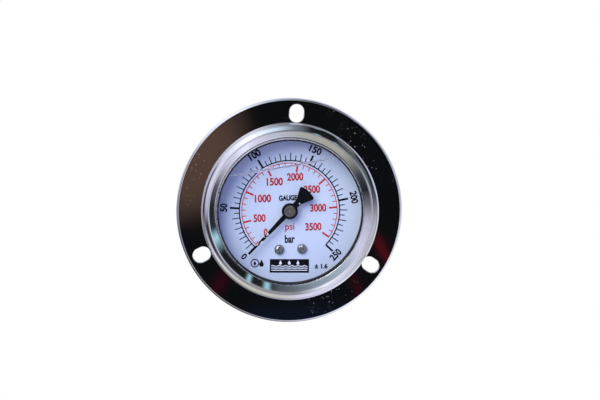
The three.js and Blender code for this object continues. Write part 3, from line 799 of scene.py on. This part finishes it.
def drop(centre, height):
    """A filled drop: a round bottom and two flanks that meet in a point."""
    r = height * 0.31
    lean = degrees(asin(r / (height - r)))
    round_part = arc((0, 0), (r, r), 180 - lean, 360 + lean, 20)
    points = [(x + centre[0], z + centre[1] - height / 2 + r) for x, z in round_part + [(0, height - r)]]
    return outline("drop", [(x, ink_front, z) for x, z in points], "NGON")


def wave(start, end, height, width, swell, wave_length=2.4):
    def place(along, across):
        x = start + (end - start) * along
        return x, ink_front, height + swell * sin(2 * pi * (x - start) / wave_length) + width * (across - 0.5)
    return laid_grid("wave", (60, 1), place)


def small_ring(along, across):
    r, a = 1.45 + 0.38 * (across - 0.5), 2 * pi * along
    return -12.9 + r * cos(a), ink_front, -20.2 + r * sin(a)


lower_black.append(laid_grid("small_ring", (48, 1), small_ring))
lower_black += [drop((-12.9, -20.15), 1.7), drop((-10.4, -20.2), 2.8)]
lower_black.append(outline("panel", [(x, ink_front, z) for x, z in (
    (-7.25, -23.85), (7.6, -23.85), (7.6, -18.65), (-7.25, -18.65))], "NGON"))
white += [wave(-6.7, 7.0, -22.9 + 0.8 * row, 0.36, 0.2 * row / 2) for row in range(3)]
white += [drop((-3.2 + 3.3 * number, -19.95), 1.7) for number in range(3)]
print("lower marks:", len(lower_black), "black,", len(white), "white")

# %% [markdown]
# The lower marks sit a little askew on this dial, by two degrees. Then all the flat marks of one colour are
# joined and thickened into one piece of ink. White lies on black, so it is a step further to the front.

# %% Ink pieces
askew, raised = 2.1, 0.25
for mark in lower_black + white:
    settle(mark, z=raised, turns=(0, askew, 0))
print_ink("ink_black", black + lower_black, black_ink)
print_ink("ink_red", red, red_ink)
print_ink("ink_white", white, white_ink, 0.02)
bpy.data.objects.remove(stroke_pattern)

# %% [markdown]
# The pointer is stamped from thin sheet: a slim blade, a round boss and a fan as a counterweight. It is drawn
# pointing right, given its thickness and an eased edge, and turned to zero.

# %% Pointer
tip_reach, tip_half, hub, root_half, neck_half, neck_end = 22.4, 0.28, 3.05, 0.92, 1.17, 4.7
fan_radius, fan_half, corner_round, corner_angle = 10.3, 18.7, 0.8, 3.5
root_angle, neck_angle = degrees(asin(root_half / hub)), degrees(asin(neck_half / hub))
corner_x, corner_z = [(fan_radius - corner_round) * f(radians(fan_half) - 0.06) for f in (cos, sin)]
blade = [(tip_reach, tip_half), *arc((0, 0), (hub, hub), root_angle, 180 - neck_angle, 24)]
blade += [(-neck_end, neck_half)]
blade += arc((-corner_x, corner_z), (corner_round,) * 2, 90 - fan_half, 180 - fan_half, 6)
blade += arc((0, 0), (fan_radius,) * 2, 180 - fan_half + corner_angle, 180 + fan_half - corner_angle, 10)
blade += arc((-corner_x, -corner_z), (corner_round,) * 2, 180 + fan_half, 270 + fan_half, 6)
blade += [(-neck_end, -neck_half), *arc((0, 0), (hub, hub), 180 + neck_angle, 360 - root_angle, 24)]
blade += [(tip_reach, -tip_half)]
needle_front, needle_back = 0.1, 0.5
needle = slab("needle", blade, needle_front, needle_back)
carve(needle, turn_on_lathe("bush_hole", [(0, -1), (1.35, -1), (1.35, 2), (0, 2)], 48))
clean(needle, fine_weld)
ease_edges(needle, 0.06, lambda x, y, z: abs(y - needle_front) < 0.001 and hypot(x, z) > 1.5)
settle(needle, turns=(0, -zero_angle, 0))
finish(smooth(needle, 35), pointer_black, "pointer_black", "pointer_blade", body="pointer")

# %% [markdown]
# A small steel bush carries the pointer on its staff. Its cap has a shallow slot for setting the zero.

# %% Bush
cap = turn_on_lathe("bush", [
    (0, -0.35), (1.95, -0.35), (2.12, -0.31), (2.2, -0.2), (2.2, 0.05), (1.3, 0.05), (1.3, 1.6), (0, 1.6)], 64)
bore = turn_on_lathe("bore", [(0, 0.35), (0.6, 0.35), (0.6, 3), (0, 3)], 32)
carve(cap, bore)
groove = slab("groove", [(-0.62, -0.13), (0.62, -0.13), (0.62, 0.13), (-0.62, 0.13)], -1, -0.2)
carve(cap, settle(groove, turns=(0, 55, 0)))
finish(smooth(clean(cap, fine_weld)), bush_steel, "plain_steel", "pointer_bush", body="pointer")

# %% [markdown]
# The case is filled almost to the top with glycerine. Between window and dial its surface is a trough, because
# the liquid climbs both, and it climbs the case wall at the two ends. The top is a grid of points laid to that
# shape, pulled down into a block, and cut round by the bore of the case.

# %% Filling liquid
window_back, trough_radius, past_walls = -0.9, 1.85, 0.6
trough_middle, trough_half = (window_back + dial_front) / 2, (dial_front - window_back) / 2
level_middle, level_slope, wall_radius, wall_climb, climb_reach = 16.5, 0.14, 27.5, 1.6, 1.3
half_block = 30


def rest_height(x):
    level = level_middle + level_slope * x
    return level + wall_climb * exp(-max(0.0, wall_radius - hypot(x, level)) / climb_reach)


def surface(along, across):
    x = half_block * (2 * along - 1)
    y = trough_middle - (trough_half + past_walls) * cos(pi * across)
    inside = max(-trough_half, min(trough_half, y - trough_middle))
    climb = trough_radius - sqrt(trough_radius**2 - inside**2)
    return x, y, rest_height(x) + climb


liquid = laid_grid("liquid", (150, 48), surface)
mode("EDIT")
bpy.ops.mesh.select_all(action="SELECT")
bpy.ops.mesh.extrude_region_move(TRANSFORM_OT_translate={"value": (0, 0, -2 * half_block * mm)})
mode("OBJECT")
clean(liquid, fine_weld)
bore = turn_on_lathe("case_bore", [(0, -0.86), (29.5, -0.86), (29.5, 3.05), (0, 3.05)], 160)
carve(liquid, bore, "INTERSECT")
finish(smooth(clean(liquid, fine_weld), 40), filling_liquid, "clear_window")
let_light_through(liquid)

# %% [markdown]
# The other CAD nodes already have the right shape. They get the finish of their slot.

# %% Finishes for the CAD nodes
finish_of_slot = {
    "chrome_plate": chrome_plate, "polished_steel": polished_steel, "plain_steel": plain_steel, "brass": brass,
    "bronze": bronze, "dial_print": dial_enamel, "pointer_black": pointer_black, "seal_rubber": seal_rubber,
    "clear_window": clear_window,
}
for part in frame["record"]["subparts"]:
    mesh = frame["nodes"][part["node"]].data
    mesh.materials.clear()
    mesh.materials.append(finish_of_slot[part["material_slot"]])
let_light_through(frame["nodes"]["window"])

# %% [markdown]
# The studio. A mirror shows its surroundings, so the room matters more than the lamps. Two measures place
# everything in it: how far round the gauge's axis a direction points, and how far it is turned away from
# straight ahead. A ring of panels is a colour ramp round the axis. Its tints are paired with a brightness.

# %% Surroundings
world = bpy.data.worlds.new("studio")
bpy.context.scene.world = world
world.use_nodes = True
g = Graph(world.node_tree)
x, y, z = g.parts(g.add("ShaderNodeTexCoord", output="Generated"))
around = g.add("ShaderNodeMath", {"operation": "ARCTAN2"}, {0: z, 1: x}) / (2 * pi) + 0.5
turned_away = g.add("ShaderNodeMath", {"operation": "ARCCOSINE"}, {0: y * -1.0}) / pi


def ramp_place(angle):
    """Where an angle, anticlockwise from the right, falls on the ramp round the gauge."""
    return ((angle + 180) % 360) / 360


def panels(*tints):
    """Colours round the gauge from angle, tint and brightness; at the seam the two ends are mixed."""
    stops = sorted((ramp_place(angle), tuple(share * level for share in tint)) for angle, tint, level in tints)
    (first, first_tint), (last, last_tint) = stops[0], stops[-1]
    share = (1 - last) / (1 - last + first) if last < 1 else 1.0
    seam = tuple(a * (1 - share) + b * share for a, b in zip(last_tint, first_tint))
    return g.add("ShaderNodeValToRGB", {"stops": [(0.0, seam), *stops, (1.0, seam)]}, {0: around})


print("world:", world.name, "nodes:", len(world.node_tree.nodes))

# %% [markdown]
# There are five rings of panels, from near the front to behind the gauge. A steep place on the bezel shows a
# ring that lies further back. Pale cards, dark gaps between them and three narrow teal lights give the polished
# bezel its bands and streaks.

# %% Rings of panels
white_card, grey_card, cream = (0.93, 0.95, 1.05), (0.95, 0.97, 1.0), (1.0, 1.0, 0.86)
lavender, blue_grey, teal = (0.8, 0.8, 1.0), (0.7, 0.84, 1.0), (0.5, 0.85, 1.0)
crest_panels = panels(
    (0, lavender, 1.1), (35, lavender, 0.7), (60, grey_card, 0.4), (90, grey_card, 0.35),
    (115, white_card, 1.2), (150, lavender, 0.9), (180, lavender, 0.7), (210, lavender, 0.35),
    (245, grey_card, 0.3), (270, lavender, 0.6), (300, white_card, 1.2), (330, white_card, 1.1))
near_panels = panels(
    (1, blue_grey, 0.04), (8, teal, 0.95), (15, teal, 0.3), (20, blue_grey, 0.02), (44, grey_card, 0.01),
    (46, blue_grey, 0.02), (49, teal, 1.0), (52, blue_grey, 0.02), (61, grey_card, 0.02), (65, teal, 1.0),
    (69, blue_grey, 0.05), (76, blue_grey, 0.14), (90, blue_grey, 0.22), (105, blue_grey, 0.4),
    (130, blue_grey, 0.6), (158, lavender, 0.95), (178, lavender, 0.75), (192, lavender, 0.25),
    (204, blue_grey, 0.025), (216, blue_grey, 0.08), (236, cream, 0.46), (264, cream, 0.48),
    (284, lavender, 0.8), (302, lavender, 1.25), (318, lavender, 0.75), (332, lavender, 0.15),
    (346, blue_grey, 0.03))
side_panels = panels(
    (4, blue_grey, 0.1), (22, blue_grey, 0.22), (42, blue_grey, 0.12), (52, grey_card, 0.015),
    (70, grey_card, 0.02), (82, blue_grey, 0.3), (96, blue_grey, 1.05), (118, white_card, 1.4),
    (142, lavender, 1.05), (164, lavender, 1.0), (182, lavender, 0.65), (194, lavender, 0.05),
    (212, lavender, 0.06), (226, lavender, 0.34), (245, grey_card, 0.42), (265, lavender, 0.65),
    (282, lavender, 1.1), (300, white_card, 1.05), (322, lavender, 0.9), (342, lavender, 0.75),
    (354, lavender, 0.3))
far_panels = panels(
    (0, blue_grey, 0.15), (10, blue_grey, 0.03), (30, blue_grey, 0.02), (37, grey_card, 0.22),
    (46, grey_card, 0.2), (50, grey_card, 0.01), (70, grey_card, 0.01), (80, blue_grey, 0.26),
    (100, blue_grey, 0.75), (118, white_card, 1.3), (142, white_card, 0.9), (154, lavender, 0.2),
    (184, lavender, 0.03), (196, lavender, 0.4), (216, grey_card, 0.85), (245, cream, 0.66),
    (264, cream, 0.64), (282, lavender, 1.05), (300, lavender, 0.9), (322, grey_card, 0.55),
    (342, grey_card, 0.62))
rear_panels = panels(
    (0, lavender, 0.8), (40, white_card, 1.0), (62, lavender, 0.8), (80, lavender, 0.75), (100, lavender, 0.95),
    (125, white_card, 1.0), (160, grey_card, 0.75), (182, lavender, 0.5), (200, lavender, 0.12),
    (245, grey_card, 0.06), (262, lavender, 0.2), (282, lavender, 0.6), (300, white_card, 1.0),
    (325, white_card, 1.0), (342, lavender, 0.9))
rings = ((0.085, 0.105, crest_panels), (0.31, 0.35, near_panels), (0.46, 0.49, side_panels),
         (0.55, 0.57, far_panels), (0.66, 0.69, rear_panels))
print("rings of panels:", len(rings))

# %% [markdown]
# The flange is flat, so it mirrors one small part of the room: a dark card that stands in front of the gauge.
# On it are soft patches: one brown, three dull red strips, and a dark blue one below.

# %% Front card
card_distance, card_left, card_up = 0.555, -0.029, 0.071
card_x, card_z = x / (y * -1.0) * card_distance + card_left, z / (y * -1.0) * card_distance + card_up


def soft_strip(centre, size, turn):
    """A soft patch on the front card, 1 in its middle; sizes in metres at the card."""
    c, s = cos(radians(turn)), sin(radians(turn))
    right, up = card_x - centre[0], card_z - centre[1]
    reach = ((right * c + up * s) / size[0]) ** 2.0 + ((up * c - right * s) / size[1]) ** 2.0
    return 1 - g.step(reach, 0.0, 1.0)


front = (0.004, 0.005, 0.006)
for centre, size, turn, tint in (
        ((-0.034, 0.02), (0.03, 0.02), 55, (0.1, 0.06, 0.044)),
        ((0.0345, -0.016), (0.0105, 0.002), -66, (0.1, 0.006, 0.01)),
        ((-0.028, -0.028), (0.012, 0.0028), 60, (0.03, 0.003, 0.008)),
        ((0.025, -0.03), (0.009, 0.0016), -70, (0.045, 0.004, 0.008)),
        ((0.0, -0.05), (0.045, 0.018), 0, (0.005, 0.009, 0.02))):
    front = g.mix(soft_strip(centre, size, turn), front, tint)
print("studio nodes:", len(world.node_tree.nodes))

# %% [markdown]
# The rings are laid over each other from the front to the back, each from where its edge fades in. Only
# reflections see them. The camera sees plain white, and matt surfaces get an even soft light.

# %% The whole room
room = front
for start, end, ring in rings:
    room = g.mix(g.step(turned_away, start, end), room, ring)
behind = g.mix(g.step(z, -0.5, 0.6), (0.12, 0.12, 0.14), (0.85, 0.87, 0.92))
room = g.mix(g.step(turned_away, 0.8, 0.88), room, behind)
soft_light = g.mix(g.step(z, -0.6, 0.9), (0.33, 0.39, 0.7), (0.4, 0.45, 1.1))
glossy = g.add("ShaderNodeLightPath", output="Is Glossy Ray")
seen = g.add("ShaderNodeLightPath", output="Is Camera Ray")
light = g.mix(seen, g.mix(glossy, soft_light, room), (1.0, 1.0, 1.0))
background = world.node_tree.nodes["Background"]
world.node_tree.links.new(light.socket, background.inputs["Color"])
world.cycles.sampling_method = "NONE"
print("studio nodes in all:", len(world.node_tree.nodes))

# %% [markdown]
# One soft lamp at the upper left gives the shadow under the pointer. Mirrors don't show it, nor the floor,
# which lies well below the gauge and only takes a little light.

# %% Lamp and floor
bpy.ops.object.light_add(type="AREA", location=(-0.3, -0.42, 0.42))
lamp = bpy.context.object
lamp.name = "soft_lamp"
lamp.data.size, lamp.data.energy, lamp.data.color = 0.6, 6.2, (1.0, 1.0, 0.74)
lamp.rotation_euler = (-lamp.location).to_track_quat("-Z", "Y").to_euler()
lamp.visible_glossy = False

floor_material, floor_graph, floor_shader = new_material("pale_floor", Roughness=0.8)
grain = floor_graph.noise(floor_graph.place(), 6.0)
feed(floor_shader, Base_Color=floor_graph.mix(grain, (0.74, 0.69, 0.52), (0.78, 0.73, 0.56)))
bpy.ops.mesh.primitive_circle_add(vertices=96, radius=0.28, fill_type="NGON", location=(0, 0, -0.16))
floor = bpy.context.object
floor.name = "floor"
floor.data.materials.append(floor_material)
floor.visible_glossy = False
print("lamp:", lamp.name, "floor:", floor.name)

# %% [markdown]
# The camera looks from a little to the left of the axis and from above it. A long lens keeps the rings nearly
# round. It aims a little above and to the right of the middle, and it leans by about a degree.

# %% Camera
distance, left_turn, rise, lean = 560 * mm, radians(3), radians(7.3), radians(-1.4)
focal_length, sensor = 89.3, 36
bpy.ops.object.camera_add(location=(
    -distance * sin(left_turn) * cos(rise), -distance * cos(left_turn) * cos(rise), distance * sin(rise)))
camera = bpy.context.object
camera.data.lens, camera.data.sensor_width = focal_length, sensor
aim = Vector((4 * mm, 0, 4 * mm)) - camera.location
camera.rotation_euler = (aim.to_track_quat("-Z", "Y").to_matrix() @ Matrix.Rotation(lean, 3, "Z")).to_euler()
bpy.context.scene.camera = camera
bpy.context.scene.view_settings.view_transform = "Standard"
print("camera at", [round(value, 3) for value in camera.location])
